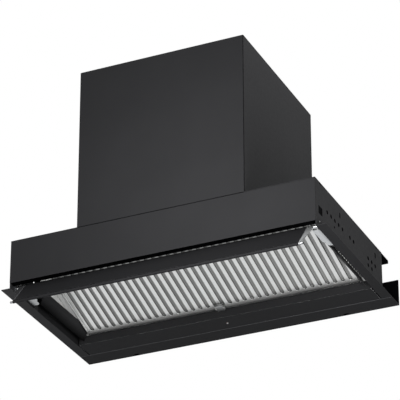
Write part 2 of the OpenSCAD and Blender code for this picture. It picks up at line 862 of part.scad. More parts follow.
// Grease pad behind the ribs
module filter_pad() {
    pad_w = filter_w - 2 * filter_wall - 2 * seat_gap;
    pad_l = filter_l - 2 * filter_wall - 2 * seat_gap;
    color(fleece)
        on_slope()
            translate([-pad_w / 2, filter_wall + seat_gap, rib_depth + rib_t + seat_gap])
                cube([pad_w, pad_l, min(pad_h, filter_h - 2 * filter_wall - rib_depth - rib_t - 2 * seat_gap)]);
}

// Latch of the filter: a slider with a finger grip, whose tongue reaches into the riser's notch.
module filter_latch() {
    grip_y = latch_tip_y - latch_l - latch_engage - lip_w;
    color(filter_metal)
        on_slope()
            along_x(latch_w)
                polygon([
                    [grip_y, latch_top_z], [grip_y, latch_top_z - latch_t - latch_grip_h],
                    [grip_y + latch_t, latch_top_z - latch_t - latch_grip_h],
                    [grip_y + 2 * latch_t, latch_top_z - latch_t],
                    [latch_tip_y, latch_top_z - latch_t], [latch_tip_y, latch_top_z - latch_t / 2],
                    [latch_tip_y - latch_t / 2, latch_top_z]]);
}

// Pins that the filter swings on, one in each side wall of the frame.
module filter_pivot_pins() {
    color(chrome)
        on_slope()
            for (s = [-1, 1])
                translate([s * (filter_w / 2 - filter_wall + pivot_reach / 2), pivot_y, pivot_z])
                    rotate([0, 90, 0]) cylinder(r = pivot_r, h = pivot_reach, center = true, $fn = 32);
}

// Motor box: the front and both sides are one folded sheet, with flanges for the back.
module motor_box_wrap() {
    flange_x = box_half_w - box_t - box_flange_w;
    color(black_paint)
        difference() {
            translate([0, 0, deck_z])
                linear_extrude(height = box_h)
                    difference() {
                        union() {
                            translate([-box_half_w, box_bend_r]) square([box_w, body_d - box_t - box_bend_r]);
                            translate([-box_half_w + box_bend_r, 0])
                                square([box_w - 2 * box_bend_r, body_d - box_t]);
                            for (s = [-1, 1])
                                translate([s * (box_half_w - box_bend_r), box_bend_r])
                                    circle(r = box_bend_r, $fn = 32);
                        }
                        translate([-box_half_w + box_t, box_t]) square([box_w - 2 * box_t, body_d - 3 * box_t]);
                        translate([-flange_x, box_t]) square([2 * flange_x, body_d]);
                    }
            screw_holes(box_screw_points, [-90, 0, 0], screw_shank_l);
        }
}

module motor_box_back() {
    color(black_paint)
        difference() {
            translate([-box_half_w, body_d - box_t, deck_z]) cube([box_w, box_t, box_h]);
            screw_holes(box_screw_points, [-90, 0, 0], screw_shank_l);
            translate([gland_x, body_d, gland_z])
                rotate([90, 0, 0]) cylinder(r = gland_r + run_gap, h = 4 * box_t, center = true, $fn = 32);
        }
}

// Top of the motor box: a tray with lips that point down, and the outlet.
module motor_box_top() {
    w = box_w - 2 * box_t - 2 * run_gap;
    d = body_d - 3 * box_t - 2 * run_gap;
    color(black_paint)
        translate([0, box_t + run_gap + d / 2, box_top_z - box_t]) {
            difference() {
                translate([-w / 2, -d / 2, 0]) cube([w, d, box_t]);
                translate([0, box_mid_y - box_t - run_gap - d / 2, -cut])
                    cylinder(r = collar_r - collar_wall - damper_seat_w, h = box_t + 2 * cut, $fn = arc_fn);
            }
            for (s = [-1, 1])
                translate([s * (w - box_t) / 2 - box_t / 2, -d / 2, -box_lip_h]) cube([box_t, d, box_lip_h]);
        }
}

// Collar for the duct: a flange on the box's top, the tube, and the dampers' seat inside it.
module outlet_collar() {
    inner_r = collar_r - collar_wall;
    color(dark_plastic)
        translate([0, box_mid_y, box_top_z])
            difference() {
                union() {
                    cylinder(r = collar_r + collar_flange_w, h = collar_flange_t, $fn = arc_fn);
                    cylinder(r = collar_r, h = collar_h, $fn = arc_fn);
                }
                translate([0, 0, damper_z - box_top_z - damper_t / 2 - seat_gap])
                    cylinder(r = inner_r, h = collar_h + cut, $fn = arc_fn);
                translate([0, 0, -cut]) cylinder(r = inner_r - damper_seat_w, h = collar_h, $fn = arc_fn);
                translate([0, 0, damper_z - box_top_z])
                    rotate([90, 0, 0])
                        cylinder(r = axle_r + run_gap, h = 2 * collar_r - collar_wall, center = true, $fn = 32);
            }
}

// Axle of both dampers, across the collar.
module damper_axle() {
    color(chrome)
        translate([0, box_mid_y, damper_z])
            rotate([90, 0, 0])
                cylinder(r = axle_r, h = 2 * collar_r - collar_wall - 2 * seat_gap, center = true, $fn = 32);
}

// One damper: a half disc with two knuckles on the axle, at the places that the other one leaves free.
module damper(side) {
    plate_r = collar_r - collar_wall - damper_edge_gap;
    places = [for (i = [0, 1]) side * (2 * i - 1 / 2) * knuckle_pitch];
    translate([0, box_mid_y, damper_z])
        difference() {
            union() {
                difference() {
                    translate([0, 0, -damper_t / 2]) cylinder(r = plate_r, h = damper_t, $fn = arc_fn);
                    translate([side > 0 ? -collar_r : -damper_inner_x, -collar_r, -damper_t])
                        cube([collar_r + damper_inner_x, 2 * collar_r, 2 * damper_t]);
                }
                for (y = places) {
                    translate([0, y, 0])
                        rotate([90, 0, 0]) cylinder(r = knuckle_r, h = knuckle_l, center = true, $fn = 32);
                    translate([side > 0 ? 0 : -damper_inner_x - cut, y - knuckle_l / 2, -damper_t / 2])
                        cube([damper_inner_x + cut, knuckle_l, damper_t]);
                }
            }
            rotate([90, 0, 0])
                cylinder(r = axle_r + run_gap, h = 2 * collar_r, center = true, $fn = 32);
        }
}

module damper_right() {
    color(grey_plastic) damper(1);
}

module damper_left() {
    color(grey_plastic) damper(-1);
}

// Radius of the scroll at an angle round the impeller, from its tongue
function scroll_r(turn) = impeller_r + scroll_gap + scroll_growth * turn / scroll_sweep;

// The growing curve of the scroll round the impeller
function scroll_curve(grow) = [
    for (i = [0:scroll_steps])
        let (turn = scroll_sweep * i / scroll_steps, a = scroll_start + turn, r = scroll_r(turn) + grow)
        [r * cos(a), r * sin(a)]];

// Outline of the scroll in (Y, Z): the curve leaves upwards at the rear.
function scroll_outline(grow) = concat(
    scroll_curve(grow),
    [[scroll_r(scroll_sweep) + grow, scroll_throat_h], [0, scroll_throat_h]]);

// Wall of the scroll, open upwards.
module scroll_wall() {
    color(dark_plastic)
        translate([0, scroll_mid_y, scroll_mid_z])
            along_x(scroll_w)
                difference() {
                    polygon(scroll_outline(scroll_t));
                    polygon(concat(
                        scroll_curve(0),
                        [[scroll_r(scroll_sweep), scroll_throat_h + cut], [scroll_t, scroll_throat_h + cut],
                            [scroll_t, scroll_r(0)]]));
                }
}

// One cheek of the scroll, with the inlet and its rim.
module scroll_cheek() {
    translate([scroll_half_w + scroll_t / 2 + run_gap, scroll_mid_y, scroll_mid_z]) {
        along_x(scroll_t)
            difference() {
                polygon(scroll_outline(scroll_t));
                circle(r = scroll_inlet_r, $fn = arc_fn);
                for (y = [-1, 1])
                    translate([y * foot_w, scroll_screw_z - scroll_mid_z])
                        circle(r = screw_shank_r + run_gap, $fn = 32);
            }
        rotate([0, 90, 0])
            translate([0, 0, -scroll_t / 2])
                difference() {
                    cylinder(r = scroll_inlet_r + scroll_t, h = 3 * scroll_t, $fn = arc_fn);
                    translate([0, 0, -cut]) cylinder(r = scroll_inlet_r, h = 5 * scroll_t, $fn = arc_fn);
                }
    }
}

module scroll_cheek_right() {
    color(dark_plastic) scroll_cheek();
}

module scroll_cheek_left() {
    color(dark_plastic) mirror([1, 0, 0]) scroll_cheek();
}

// Feet that carry the scroll on the deck: an angle under each cheek.
module scroll_feet() {
    foot_x = scroll_half_w + scroll_t + run_gap;
    foot_top = scroll_screw_z + foot_w / 2;
    color(bright_steel)
        for (s = [-1, 1])
            difference() {
                translate([0, scroll_mid_y - foot_half_l, deck_z]) {
                    translate([s * (foot_x + box_t / 2) - box_t / 2, foot_half_l - 2 * foot_w, 0])
                        cube([box_t, 4 * foot_w, foot_top - deck_z]);
                    translate([s * (foot_x + box_t / 2) - box_t / 2, 0, 0]) cube([box_t, 2 * foot_half_l, foot_w]);
                    translate([s * (foot_x + foot_w / 2) - foot_w / 2, 0, 0])
                        cube([foot_w, 2 * foot_half_l, box_t]);
                }
                screw_holes(scroll_screw_points(s), [0, s * 90, 0], screw_shank_l);
                screw_holes(deck_screw_points, [0, 0, 0], screw_shank_l);
            }
}

// Adaptor from the scroll's throat to the round outlet.
module outlet_adaptor() {
    throat_y = scroll_r(scroll_sweep) + scroll_t;
    low_z = scroll_mid_z + scroll_throat_h + seat_gap;
    top_z = box_top_z - box_t - seat_gap;
    inner_r = collar_r - collar_wall - damper_seat_w;
    color(dark_plastic)
        difference() {
            adaptor_solid(scroll_w + 2 * scroll_t, throat_y, inner_r + adaptor_t, low_z, top_z, 0);
            adaptor_solid(scroll_w, throat_y - 2 * scroll_t, inner_r, low_z - cut, top_z + cut, scroll_t);
        }
}

module adaptor_solid(w, d, r, low_z, top_z, inset) {
    hull() {
        translate([-w / 2, scroll_mid_y + inset, low_z]) cube([w, d, sheet]);
        translate([0, box_mid_y, top_z - sheet]) cylinder(r = r, h = sheet, $fn = 32);
    }
}

// Impeller: two drums of blades on a middle disc.
module impeller() {
    color(dark_plastic)
        translate([0, scroll_mid_y, scroll_mid_z])
            rotate([0, 90, 0]) {
                difference() {
                    cylinder(r = impeller_r, h = ring_t, center = true, $fn = arc_fn);
                    cylinder(r = shaft_r + run_gap, h = 4 * ring_t, center = true, $fn = 32);
                    for (a = [0:60:300])
                        rotate([0, 0, a]) translate([(hub_r + impeller_r - blade_depth) / 2, 0, 0])
                            cylinder(r = ring_w, h = 4 * ring_t, center = true, $fn = 32);
                }
                for (s = [-1, 1])
                    translate([0, 0, s * (impeller_half_w - ring_t / 2)])
                        difference() {
                            cylinder(r = impeller_r, h = ring_t, center = true, $fn = arc_fn);
                            cylinder(r = impeller_r - ring_w, h = 4 * ring_t, center = true, $fn = arc_fn);
                        }
                for (i = [0:blade_count - 1])
                    rotate([0, 0, i * 360 / blade_count])
                        translate([impeller_r - blade_depth / 2 - blade_t, 0, 0])
                            rotate([0, 0, blade_lean])
                                cube([blade_depth - 2 * blade_t, blade_t, 2 * impeller_half_w - ring_t], center = true);
            }
}

// Shaft of the motor, with the impeller's hub on it.
module motor_shaft() {
    color(chrome)
        translate([0, scroll_mid_y, scroll_mid_z])
            rotate([0, 90, 0]) {
                translate([0, 0, -motor_l - motor_gap]) cylinder(r = shaft_r, h = motor_l + 2 * motor_gap + hub_r, $fn = 32);
                translate([0, 0, ring_t / 2 + run_gap]) cylinder(r = hub_r, h = ring_w, $fn = 32);
            }
}

// Motor, inside the left drum.
module motor() {
    color(bright_steel)
        translate([-ring_t / 2 - motor_gap - motor_l / 2, scroll_mid_y, scroll_mid_z])
            rotate([0, 90, 0])
                difference() {
                    union() {
                        cylinder(r = motor_r, h = motor_l * motor_drum_share, center = true, $fn = arc_fn);
                        cylinder(r = motor_r * motor_end_share, h = motor_l, center = true, $fn = arc_fn);
                    }
                    cylinder(r = shaft_r + run_gap, h = motor_l + 2 * cut, center = true, $fn = 32);
                }
}

// Spider that holds the motor in the left inlet.
module motor_spider() {
    spider_x = -scroll_half_w - 3 * scroll_t - spider_t;
    motor_face_x = -ring_t / 2 - motor_gap - motor_l - seat_gap;
    color(bright_steel)
        translate([0, scroll_mid_y, scroll_mid_z])
            rotate([0, 90, 0]) {
                translate([0, 0, spider_x]) {
                    cylinder(r = spider_hub_r, h = motor_face_x - spider_x, $fn = 32);
                    for (a = spider_turns)
                        rotate([0, 0, a])
                            translate([0, -spider_arm_w / 2, 0])
                                cube([scroll_inlet_r + scroll_t, spider_arm_w, spider_t - seat_gap]);
                }
            }
}

// Electrics in the motor box

// Tray of the control box, with four posts for the board and two cable entries.
module control_box() {
    inside = [for (i = [0, 1]) control_size[i] - 2 * control_t];
    color(dark_plastic)
        translate([control_x, control_y, deck_z + seat_gap]) {
            difference() {
                cube([control_size[0], control_size[1], control_size[2] - control_t]);
                translate([control_t, control_t, control_t]) cube([inside[0], inside[1], control_size[2]]);
                for (share = control_entry_shares)
                    translate([-cut, share * control_size[1], control_entry_z])
                        rotate([0, 90, 0]) cylinder(r = control_entry_r, h = control_t + 2 * cut, $fn = 32);
            }
            for (x = control_post_xs, y = control_post_ys)
                translate([x, y, control_t]) cylinder(r = control_post_r, h = control_post_h, $fn = 32);
        }
}

// Board in the tray, with its transformer, two relays and the terminal block.
module control_board() {
    board = [for (i = [0, 1]) control_size[i] - 2 * control_t - 2 * seat_gap];
    color(board_green)
        translate([
            control_x + control_t + seat_gap, control_y + control_t + seat_gap,
            deck_z + seat_gap + control_t + control_post_h]) {
            cube([board[0], board[1], board_t]);
            for (part = board_parts)
                translate([part[0][0] * board[0], part[0][1] * board[1], board_t]) cube(part[1]);
        }
}

// Lid of the control box, with a rim that reaches into the tray.
module control_lid() {
    rim = [for (i = [0, 1]) control_size[i] - 2 * control_t - 2 * seat_gap];
    color(dark_plastic)
        translate([control_x, control_y, deck_z + seat_gap + control_size[2] - control_t]) {
            cube([control_size[0], control_size[1], control_t]);
            translate([control_t + seat_gap, control_t + seat_gap, -control_rim_h])
                difference() {
                    cube([rim[0], rim[1], control_rim_h]);
                    translate([control_t, control_t, -cut])
                        cube([rim[0] - 2 * control_t, rim[1] - 2 * control_t, control_rim_h]);
                }
        }
}

module capacitor() {
    color(bright_steel)
        translate([capacitor_x, capacitor_y, deck_z + seat_gap]) {
            cylinder(r = capacitor_r, h = capacitor_l, $fn = 32);
            cylinder(r = capacitor_r + 2 * box_t, h = 2 * box_t, $fn = 32);
        }
}

// Gland for the mains lead, in the back of the motor box.
module cable_gland() {
    color(dark_plastic)
        translate([gland_x, body_d + seat_gap, gland_z])
            rotate([-90, 0, 0])
                difference() {
                    union() {
                        translate([0, 0, -gland_l / 2]) cylinder(r = gland_r, h = gland_l, $fn = 32);
                        cylinder(r = gland_r + 2 * box_t, h = gland_l / 3, $fn = 6);
                    }
                    translate([0, 0, -gland_l]) cylinder(r = gland_r / 2, h = 2 * gland_l, $fn = 32);
                }
}

// Screws
module box_screws() {
    color(dark_steel) screws_at(box_screw_points, [-90, 0, 0], screw_shank_l);
}

module scroll_screws() {
    color(chrome) {
        for (s = [-1, 1]) screws_at(scroll_screw_points(s), [0, s * 90, 0], screw_shank_l - box_t);
        screws_at(deck_screw_points, [0, 0, 0], box_t + sheet);
    }
}

module bracket_screws() {
    color(chrome)
        for (s = [-1, 1]) screws_at(bracket_screw_points(s), [0, -s * 90, 0], bracket_screw_l);
}

front_panel();
side_plate_left();
side_plate_right();
back_panel();
top_deck();
trim_left();
trim_right();
trim_rear();
rear_cover();
indicator_lens();
guide_left();
guide_right();
plenum_liner();
front_shield();
filter_rail();
seat_left();
seat_right();
hinge_bracket_left();
hinge_bracket_right();
flap_panel();
flap_end_left();
flap_end_right();
flap_hinge_rod();
flap_edge_bar();
flap_catch_pins();
flap_magnet();
flap_sensor();
filter_frame();
filter_mesh();
filter_pad();
filter_latch();
filter_pivot_pins();
motor_box_wrap();
motor_box_back();
motor_box_top();
outlet_collar();
damper_axle();
damper_left();
damper_right();
scroll_wall();
scroll_cheek_left();
scroll_cheek_right();
scroll_feet();
outlet_adaptor();
impeller();
motor_shaft();
motor();
motor_spider();
control_box();
control_board();
control_lid();
capacitor();
cable_gland();
box_screws();
scroll_screws();
bracket_screws();
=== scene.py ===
"""Dresses the built-in range hood: materials, rounded sheet edges, the ribbed filter and the stage.

Every solid comes from the CAD frame and stays where it is. Lengths are in millimetres in the
part's frame and are multiplied by MM where Blender takes them: X across, Y to the wall, Z up.
"""
import json
import math

import bmesh
import bpy
from mathutils import Matrix, Vector

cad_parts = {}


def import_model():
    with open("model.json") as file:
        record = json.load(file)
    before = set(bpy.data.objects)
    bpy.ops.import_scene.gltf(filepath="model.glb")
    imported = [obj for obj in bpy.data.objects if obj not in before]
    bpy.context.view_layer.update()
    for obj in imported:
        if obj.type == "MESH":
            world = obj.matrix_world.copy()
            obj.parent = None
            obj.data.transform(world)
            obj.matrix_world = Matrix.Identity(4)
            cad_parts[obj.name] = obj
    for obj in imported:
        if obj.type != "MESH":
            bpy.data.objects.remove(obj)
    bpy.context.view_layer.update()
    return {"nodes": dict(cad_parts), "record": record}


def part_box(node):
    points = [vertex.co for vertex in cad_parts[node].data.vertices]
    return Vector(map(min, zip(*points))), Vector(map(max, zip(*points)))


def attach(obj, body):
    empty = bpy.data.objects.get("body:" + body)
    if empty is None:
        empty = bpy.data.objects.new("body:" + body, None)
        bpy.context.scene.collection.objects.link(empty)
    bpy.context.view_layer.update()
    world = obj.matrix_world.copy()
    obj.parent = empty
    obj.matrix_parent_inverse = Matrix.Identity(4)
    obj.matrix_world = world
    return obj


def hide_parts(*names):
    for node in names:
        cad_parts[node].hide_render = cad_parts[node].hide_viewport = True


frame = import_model()
nodes = frame["nodes"]
MM = 0.001
SIDES = (("left", -1), ("right", 1))

# Socket numbers of a Mix node that mixes colours
MIX_FACTOR, MIX_A, MIX_B, MIX_RESULT = 0, 6, 7, 2


# Materials

def srgb(code):
    """A hex colour as written on screen, in the linear values that shaders take."""
    out = []
    for i in (0, 2, 4):
        v = int(code[i:i + 2], 16) / 255
        out.append(v / 12.92 if v <= 0.04045 else ((v + 0.055) / 1.055) ** 2.4)
    return (*out, 1.0)


def scaled(colour, share):
    return tuple(c * share for c in colour[:3]) + (1,)


def grey(value):
    return (value, value, value, 1)


class Mat:
    """A small helper round one node material, a new one or one that exists."""

    def __init__(self, name, material=None):
        self.mat = material or bpy.data.materials.new(name)
        self.mat.use_nodes = True
        self.tree = self.mat.node_tree
        self.bsdf = self.tree.nodes["Principled BSDF"]

    def add(self, kind, **values):
        node = self.tree.nodes.new(kind)
        for key, value in values.items():
            setattr(node, key, value)
        return node

    def link(self, a, out, b, to):
        self.tree.links.new(a.outputs[out], b.inputs[to])

    def set(self, **values):
        for key, value in values.items():
            self.bsdf.inputs[key.replace("_", " ")].default_value = value

    def coords(self, scale=(1, 1, 1)):
        place = self.add("ShaderNodeTexCoord")
        mapping = self.add("ShaderNodeMapping")
        mapping.inputs["Scale"].default_value = scale
        self.link(place, "Object", mapping, "Vector")
        return mapping

    def noise(self, mapping, scale, detail, roughness=0.55):
        node = self.add("ShaderNodeTexNoise")
        node.inputs["Scale"].default_value = scale
        node.inputs["Detail"].default_value = detail
        node.inputs["Roughness"].default_value = roughness
        self.link(mapping, "Vector", node, "Vector")
        return node

    def ramp(self, node, out, stops):
        ramp = self.add("ShaderNodeValToRGB")
        elements = ramp.color_ramp.elements
        while len(elements) < len(stops):
            elements.new(0.5)
        for element, (place, colour) in zip(elements, stops):
            element.position = place
            element.color = colour
        self.link(node, out, ramp, "Fac")
        return ramp

    def cloudy(self, cloud, low, high):
        """A base colour that drifts from low to high with the noise."""
        colour = self.ramp(cloud, "Fac", [(0.3, low), (0.7, high)])
        self.link(colour, "Color", self.bsdf, "Base Color")

    def gloss(self, texture, low, high):
        ramp = self.ramp(texture, "Fac", [(0.3, grey(low)), (0.7, grey(high))])
        self.link(ramp, "Color", self.bsdf, "Roughness")

    def bump(self, texture, strength, distance):
        node = self.add("ShaderNodeBump")
        node.inputs["Strength"].default_value = strength
        node.inputs["Distance"].default_value = distance
        self.link(texture, "Fac", node, "Height")
        self.link(node, "Normal", self.bsdf, "Normal")


def paint(name, code, rough=0.45, spread=0.04, specular=0.012):
    """Powder coat: a fine orange peel, cloudy gloss and a slight shift of its colour."""
    m = Mat(name)
    near = m.coords()
    base = srgb(code)
    m.cloudy(m.noise(near, 9.0, 4.0), scaled(base, 0.95), scaled(base, 1.05))
    m.gloss(m.noise(near, 160.0, 2.0), rough - spread, rough + spread)
    m.bump(m.noise(near, 1500.0, 1.0), 0.04, 0.0001)
    m.set(Specular_IOR_Level=specular)
    return m.mat


def brushed(name, code, rough, along, strength=0.10, metallic=1.0):
    """Rolled or brushed metal: streaks along one axis in its colour and a shallow bump."""
    m = Mat(name)
    stretch = [1.0, 1.0, 1.0]
    stretch[along] = 0.03
    lines = m.noise(m.coords(stretch), 700.0, 4.0, 0.7)
    base = srgb(code)
    mix = m.add("ShaderNodeMix", data_type="RGBA")
    mix.inputs[MIX_A].default_value = scaled(base, 0.85)
    mix.inputs[MIX_B].default_value = base
    m.link(lines, "Fac", mix, "Factor")
    m.link(mix, MIX_RESULT, m.bsdf, "Base Color")
    m.gloss(m.noise(m.coords(), 14.0, 3.0), rough - 0.05, rough + 0.08)
    m.bump(lines, strength, 0.0002)
    m.set(Metallic=metallic)
    return m.mat


def plastic(name, code, rough=0.5, scale=900.0, strength=0.15):
    """Moulded plastic with a spark-eroded grain."""
    m = Mat(name)
    near = m.coords()
    base = srgb(code)
    m.cloudy(m.noise(near, 20.0, 3.0), scaled(base, 0.9), scaled(base, 1.1))
    grain = m.noise(near, scale, 2.0)
    m.gloss(grain, rough - 0.07, rough + 0.07)
    m.bump(grain, strength, 0.0002)
    return m.mat


def milky(name, code):
    """A small cloudy lens."""
    m = Mat(name)
    base = srgb(code)
    m.cloudy(m.noise(m.coords(), 300.0, 2.0), scaled(base, 0.9), base)
    m.set(Roughness=0.2, Subsurface_Weight=0.3, Subsurface_Scale=0.001)
    return m.mat


def multiplied(material, share):
    """Multiplies a material's colour by the grey of the node that share(m) makes."""
    m = Mat(material.name, material)
    source = m.bsdf.inputs["Base Color"].links[0].from_socket
    mix = m.add("ShaderNodeMix", data_type="RGBA", blend_type="MULTIPLY")
    mix.inputs[MIX_FACTOR].default_value = 1.0
    m.tree.links.new(source, mix.inputs[MIX_A])
    m.link(share(m), "Color", mix, MIX_B)
    m.link(mix, MIX_RESULT, m.bsdf, "Base Color")
    return material


def painted_shade_along(material, axis, stops):
    """Painted shade that darkens a material towards an end: each stop is a place along the axis and
    a share.
    """
    first, last = stops[0][0], stops[-1][0]

    def share(m):
        place = m.add("ShaderNodeTexCoord")
        split = m.add("ShaderNodeSeparateXYZ")
        m.link(place, "Object", split, "Vector")
        stretch = m.add("ShaderNodeMapRange")
        stretch.inputs["From Min"].default_value = first * MM
        stretch.inputs["From Max"].default_value = last * MM
        m.link(split, axis, stretch, "Value")
        return m.ramp(stretch, "Result", [
            ((at - first) / (last - first), grey(value)) for at, value in stops])
    return multiplied(material, share)


DASH_PERIOD = 9.0
WAVE_LENGTH = 0.314  # metres from crest to crest of a wave texture of scale 1


def dashed_highlight(material):
    """Dark bands at even steps along Y, which break a painted highlight into dashes."""
    def share(m):
        waves = m.add("ShaderNodeTexWave", bands_direction="Y")
        waves.inputs["Scale"].default_value = WAVE_LENGTH / (DASH_PERIOD * MM)
        place = m.add("ShaderNodeTexCoord")
        m.link(place, "Object", waves, "Vector")
        return m.ramp(waves, "Fac", [(0.35, grey(0.25)), (0.6, grey(1))])
    return multiplied(material, share)


# The filter's ribbed face reaches from about Y 96 at the front to Y 254 at the rear.
# Painted shade on the filter's ends: darkest at the front under the flap and at the rear lip.
FILTER_PAINTED_SHADE = [(104, 0.1), (124, 1), (240, 1), (257, 0.05)]
GROOVE_PAINTED_SHADE = [(104, 0.0), (128, 1), (240, 1), (257, 0.05)]

# Painted sheet
black = paint("black_paint", "262627")
bar_paint = paint("bar_paint", "232324", rough=0.5)
flap_paint = paint("flap_paint", "1b1b1c", spread=0.02)
# Painted shade: the left flap end is near black, while its mirror on the right is bare metal.
wing_painted_shade = paint("wing_painted_shade", "2c2c2d")
# A lighter copy of the black paint as painted light on the rear cover's front-facing riser.
riser_light_paint = paint("riser_light_paint", "2e2e2f", rough=0.5)
# A lighter paint on the left trim as painted light, darkening towards the rear as painted shade.
trim_light_and_shade_paint = painted_shade_along(
    paint("trim_light_and_shade_paint", "3a3a3b", rough=0.5), "Y", [(20, 1), (300, 0.68)])
# Painted shade: the guides darken towards their foot.
guide_shade_paint = painted_shade_along(
    paint("guide_shade_paint", "343435", rough=0.5), "Z", [(5, 0.15), (19, 1), (30, 1)])
# A lighter grey as painted light on the guides' shaded outer faces.
guide_outer_light_paint = paint("guide_outer_light_paint", "5a5a5b", rough=0.5)
dark = paint("dark_inner_sheet", "1c1c1d", rough=0.5)
# Near-black paint as painted shade on faces in hollows and gaps, on the front panel's hem and on
# the hole rims.
black_painted_shade = paint("black_painted_shade", "070708", rough=0.6, specular=0.0)
screw_black = paint("screw_black", "18181a", rough=0.35)

# Edges and seams of painted sheet
# Painted highlight: a light grey on the rear cover's bends.
bend_highlight_paint = paint("bend_highlight_paint", "d8d8d8", rough=0.35)
# Painted highlight on the lips and folds of the rear trim, the flap and its ends.
lip_highlight_paint = paint("lip_highlight_paint", "58585a", rough=0.4)
seam_paint = paint("seam_paint", "0c0c0d", rough=0.6)
# Painted highlight: a near-white dashed bead in the shaded slot beside each guide.
bead_highlight_paint = dashed_highlight(paint("bead_highlight_paint", "f4f4f2", rough=0.4))

# Bare sheet
zinc = brushed("zinc_sheet", "bcbebf", rough=0.42, along=1, metallic=0.35)
liner_zinc = brushed("liner_zinc", "e6e6e4", rough=0.5, along=1, metallic=0.15)
flange_metal = brushed("flange_metal", "f2f2f0", rough=0.4, along=1, metallic=0.4)
# Painted highlight: a bright dashed strip along the guides' top outer edge.
edge_highlight_metal = dashed_highlight(brushed("edge_highlight_metal", "e8e8e6", rough=0.4, along=1, metallic=0.2))
# The right flap end as lit bare metal, darkening towards its top as painted shade.
wing_light_and_shade_metal = painted_shade_along(
    brushed("wing_light_and_shade_metal", "8c8d8d", rough=0.45, along=1, metallic=0.3), "Z", [(-36, 1), (0, 0.5)])
# The filter's aluminium, with painted shade towards both ends.
filter_metal = painted_shade_along(
    brushed("filter_aluminium", "e9e9e7", rough=0.36, along=1, metallic=0.85), "Y", FILTER_PAINTED_SHADE)
# Painted shade in the grooves: darker copies of the filter's metal, darkest on the walls.
groove_side_painted_shade = painted_shade_along(
    brushed("groove_side_painted_shade", "6c6c6b", rough=0.5, along=1, metallic=0.3), "Y", GROOVE_PAINTED_SHADE)
groove_bottom_painted_shade = painted_shade_along(
    brushed("groove_bottom_painted_shade", "a4a4a2", rough=0.5, along=1, metallic=0.5), "Y", GROOVE_PAINTED_SHADE)

# Small parts
chrome = brushed("chrome_pins", "b8b9ba", rough=0.14, along=0, strength=0.03)
latch_steel = brushed("latch_steel", "a0a1a1", rough=0.4, along=0, strength=0.03)
pin_steel = brushed("pin_steel", "8e8f90", rough=0.2, along=0, strength=0.03)
cast = brushed("cast_aluminium", "b4b5b6", rough=0.45, along=2)
pad_metal = plastic("filter_fleece", "8a8a88", rough=0.8, scale=500.0, strength=0.8)
grey_plastic = plastic("grey_plastic", "8f9092")
dark_plastic = plastic("dark_plastic", "26272a")
board = plastic("green_board", "1e4a2c", rough=0.4)
lens = milky("milky_lens", "a8a8a8")

LOOK = {
    black: ["front_panel", "back_panel", "top_deck", "trim_right", "trim_rear", "rear_cover",
            "motor_box_wrap", "motor_box_back", "motor_box_top",
            "side_plate_left", "side_plate_right"],
    flap_paint: ["flap_panel"],
    bar_paint: ["flap_edge_bar"],
    wing_painted_shade: ["flap_end_left"],
    wing_light_and_shade_metal: ["flap_end_right"],
    trim_light_and_shade_paint: ["trim_left"],
    guide_shade_paint: ["guide_left", "guide_right"],
    dark: ["front_shield", "filter_rail"],
    liner_zinc: ["plenum_liner"],
    zinc: ["seat_left", "seat_right", "scroll_feet", "motor_spider", "capacitor"],
    filter_metal: ["filter_frame", "filter_mesh"],
    latch_steel: ["filter_latch"],
    pad_metal: ["filter_pad"],
    pin_steel: ["flap_catch_pins"],
    chrome: ["flap_hinge_rod", "filter_pivot_pins", "damper_axle", "motor_shaft",
             "scroll_screws", "bracket_screws", "flap_magnet"],
    grey_plastic: ["damper_left", "damper_right"],
    dark_plastic: ["hinge_bracket_left", "hinge_bracket_right", "flap_sensor", "outlet_collar",
                   "scroll_wall", "scroll_cheek_left", "scroll_cheek_right", "outlet_adaptor",
                   "impeller", "control_box", "control_lid", "cable_gland"],
    board: ["control_board"],
    cast: ["motor"],
    lens: ["indicator_lens"],
    screw_black: ["box_screws"],
}
for material, names in LOOK.items():
    for name in names:
        cad_mesh = nodes[name].data
        cad_mesh.materials.clear()
        cad_mesh.materials.append(material)
        for polygon in cad_mesh.polygons:
            polygon.material_index = 0


# What every added piece needs

def body_of(node):
    bodies = frame["record"]["behaviour"]["bodies"]
    return next(name for name, members in bodies.items() if node in members)


def slot_of(node):
    rows = frame["record"]["subparts"]
    return next(row["material_slot"] for row in rows if row["node"] == node)


def mesh_from(made, name, *materials):
    """Ends a bmesh and hands over its mesh, with its materials in slot order."""
    mesh = bpy.data.meshes.new(name)
    made.to_mesh(mesh)
    made.free()
    for material in materials:
        mesh.materials.append(material)
    return mesh


def add_piece(mesh, body, slot, *replaced):
    piece = bpy.data.objects.new(mesh.name, mesh)
    bpy.context.scene.collection.objects.link(piece)
    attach(piece, body)
    if replaced:
        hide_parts(*replaced)
    return piece


def limits(node):
    """A node's lowest and highest corners at rest, in millimetres."""
    return tuple(Vector(corner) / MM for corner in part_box(node))


# Sheet metal with rounded folds: copies of the CAD's solids whose sharp edges get a small radius

FOLD_RADIUS = 0.49  # just under half of a 1 mm sheet, so that both rims of an edge have room
SHARP = math.radians(35)
FLAT = math.radians(0.5)
SAME_PLACE = 0.1
# Height at which the guides' outer faces change from painted light to a painted highlight.
GUIDE_CUT_Z = 21.0
LINER_X = 270.0
BORDER = 3.0
BOX_LOW, BOX_HIGH = limits("motor_box_wrap")
PLATE_LOW, PLATE_HIGH = limits("side_plate_right")
REAR_TRIM_LOW = limits("trim_rear")[0]


